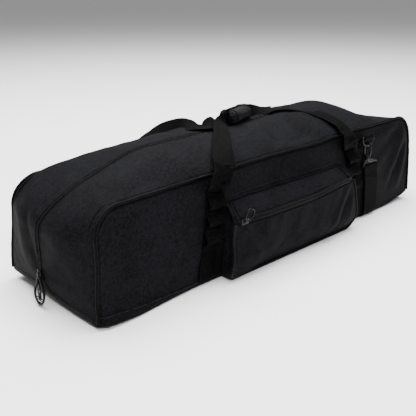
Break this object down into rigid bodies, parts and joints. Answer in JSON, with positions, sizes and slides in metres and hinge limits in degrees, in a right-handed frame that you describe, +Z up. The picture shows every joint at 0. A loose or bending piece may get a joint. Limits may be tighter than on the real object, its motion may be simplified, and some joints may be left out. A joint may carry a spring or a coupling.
{
  "type": "telescope carry case",
  "caption": "Long padded soft case with a zipped two-leaf top, a zipped front pocket, webbing handles with a shared grip and a clip-on shoulder strap.",
  "frame": {"origin": "centre of the flat underside, level with the surface that the case stands on", "axes": "+X along the case towards the end with the front ring, -Y out of the front with the pocket, +Z up"},
  "size_m": [0.9461, 0.3917, 0.268],
  "materials": {
    "polyester": "woven, matt with a slight sheen",
    "lining": "knitted, matt",
    "webbing": "ribbed weave, satin",
    "piping": "satin cord edge",
    "zip": "woven tape with moulded coil",
    "board": "ribbed sheet",
    "hardware": "moulded, glossy",
    "metal": "black enamel",
    "rubber": "moulded, satin",
    "pad": "padded, woven"
  },
  "bodies": {
    "root": {"base_panel": "polyester", "base_board": "board", "front_panel": "polyester", "front_liner": "lining", "back_panel": "polyester", "back_liner": "lining", "end_left_front": "polyester", "zip_left_front": "zip", "end_left_back": "polyester", "zip_left_back": "zip", "end_right_front": "polyester", "zip_right_front": "zip", "end_right_back": "polyester", "zip_right_back": "zip", "piping_front": "piping", "piping_back": "piping", "end_binding_left": "webbing", "end_binding_right": "webbing", "webbing_left": "webbing", "webbing_right": "webbing", "pocket_front": "polyester", "pocket_zip_lower": "zip", "pocket_side_left": "polyester", "pocket_side_right": "polyester", "pocket_bottom": "polyester", "pocket_piping": "piping", "ring_tab_front": "webbing", "ring_tab_back": "webbing", "strap_front": "webbing", "strap_left": "webbing", "strap_back": "webbing", "shoulder_pad": "pad", "strap_adjuster": "hardware"},
    "top_flap_front": {"top_flap_front": "polyester", "zip_top_front": "zip"},
    "handle_front": {"handle_front": "webbing", "grip_wrap_front": "polyester"},
    "ring_front": {"d_ring_front": "hardware", "swivel_eye_front": "hardware"},
    "snap_hook_front": {"snap_hook_front": "hardware"},
    "hook_gate_front": {"hook_gate_front": "hardware"},
    "top_flap_back": {"top_flap_back": "polyester", "zip_top_back": "zip"},
    "handle_back": {"handle_back": "webbing", "grip_wrap_back": "polyester"},
    "ring_back": {"d_ring_back": "hardware", "swivel_eye_back": "hardware"},
    "snap_hook_back": {"snap_hook_back": "hardware"},
    "hook_gate_back": {"hook_gate_back": "hardware"},
    "main_slider": {"main_slider": "metal"},
    "main_slider_lower": {"main_slider_lower": "metal"},
    "main_pull": {"main_pull": "rubber"},
    "main_pull_lower": {"main_pull_lower": "metal"},
    "pocket_flap": {"pocket_flap": "polyester"},
    "pocket_slider": {"pocket_slider": "metal"},
    "pocket_pull": {"pocket_pull": "rubber"}
  },
  "joints": [
    {"name": "top_flap_front_open", "type": "hinge", "parent": "root", "child": "top_flap_front", "pos_m": [0, -0.1165, 0.1985], "axis": [0.9998, 0, 0.0215], "range_deg": [0, 100]},
    {"name": "handle_front_swing", "type": "hinge", "parent": "top_flap_front", "child": "handle_front", "pos_m": [0, -0.1165, 0.1985], "axis": [0.9998, 0, 0.0215], "range_deg": [0, 36]},
    {"name": "top_flap_back_open", "type": "hinge", "parent": "root", "child": "top_flap_back", "pos_m": [0, 0.1165, 0.1985], "axis": [-0.9998, 0, -0.0215], "range_deg": [0, 100]},
    {"name": "handle_back_swing", "type": "hinge", "parent": "top_flap_back", "child": "handle_back", "pos_m": [0, 0.1165, 0.1985], "axis": [-0.9998, 0, -0.0215], "range_deg": [0, 36]},
    {"name": "main_slider_run", "type": "slide", "parent": "root", "child": "main_slider", "axis": [0, 0, 1], "range_m": [0, 0.07]},
    {"name": "main_pull_swing", "type": "hinge", "parent": "main_slider", "child": "main_pull", "pos_m": [-0.474, 0, 0.05], "axis": [0, 1, 0], "range_deg": [0, 120]},
    {"name": "main_slider_lower_run", "type": "slide", "parent": "root", "child": "main_slider_lower", "axis": [0, 0, 1], "range_m": [-0.008, 0.002]},
    {"name": "main_pull_lower_swing", "type": "hinge", "parent": "main_slider_lower", "child": "main_pull_lower", "pos_m": [-0.4714, 0, 0.03], "axis": [0, 1, 0], "range_deg": [0, 60]},
    {"name": "pocket_flap_open", "type": "hinge", "parent": "root", "child": "pocket_flap", "pos_m": [0, -0.1262, 0.1388], "axis": [-1, 0, 0], "range_deg": [0, 85]},
    {"name": "pocket_slider_run", "type": "slide", "parent": "root", "child": "pocket_slider", "axis": [1, 0, 0], "range_m": [0, 0.32]},
    {"name": "pocket_pull_swing", "type": "hinge", "parent": "pocket_slider", "child": "pocket_pull", "pos_m": [-0.1645, -0.1721, 0.1085], "axis": [1, 0, 0], "range_deg": [0, 150]},
    {"name": "d_ring_front_swing", "type": "hinge", "parent": "root", "child": "ring_front", "pos_m": [0.252, -0.132, 0.184], "axis": [-1, 0, 0], "range_deg": [0, 30]},
    {"name": "snap_hook_front_swivel", "type": "hinge", "parent": "ring_front", "child": "snap_hook_front", "pos_m": [0.253, -0.1325, 0.1554], "axis": [0, 0, 1], "range_deg": [-12, 12]},
    {"name": "hook_gate_front_open", "type": "hinge", "parent": "snap_hook_front", "child": "hook_gate_front", "pos_m": [0.253, -0.1393, 0.1409], "axis": [-1, 0, 0], "range_deg": [0, 8], "stiffness_Nm_per_rad": 0.05, "springref_deg": -9.74},
    {"name": "d_ring_back_swing", "type": "hinge", "parent": "root", "child": "ring_back", "pos_m": [-0.252, 0.132, 0.184], "axis": [1, 0, 0], "range_deg": [0, 30]},
    {"name": "snap_hook_back_swivel", "type": "hinge", "parent": "ring_back", "child": "snap_hook_back", "pos_m": [-0.253, 0.1325, 0.1554], "axis": [0, 0, 1], "range_deg": [-12, 12]},
    {"name": "hook_gate_back_open", "type": "hinge", "parent": "snap_hook_back", "child": "hook_gate_back", "pos_m": [-0.253, 0.1393, 0.1409], "axis": [1, 0, 0], "range_deg": [0, 8], "stiffness_Nm_per_rad": 0.05, "springref_deg": -9.74}
  ]
}
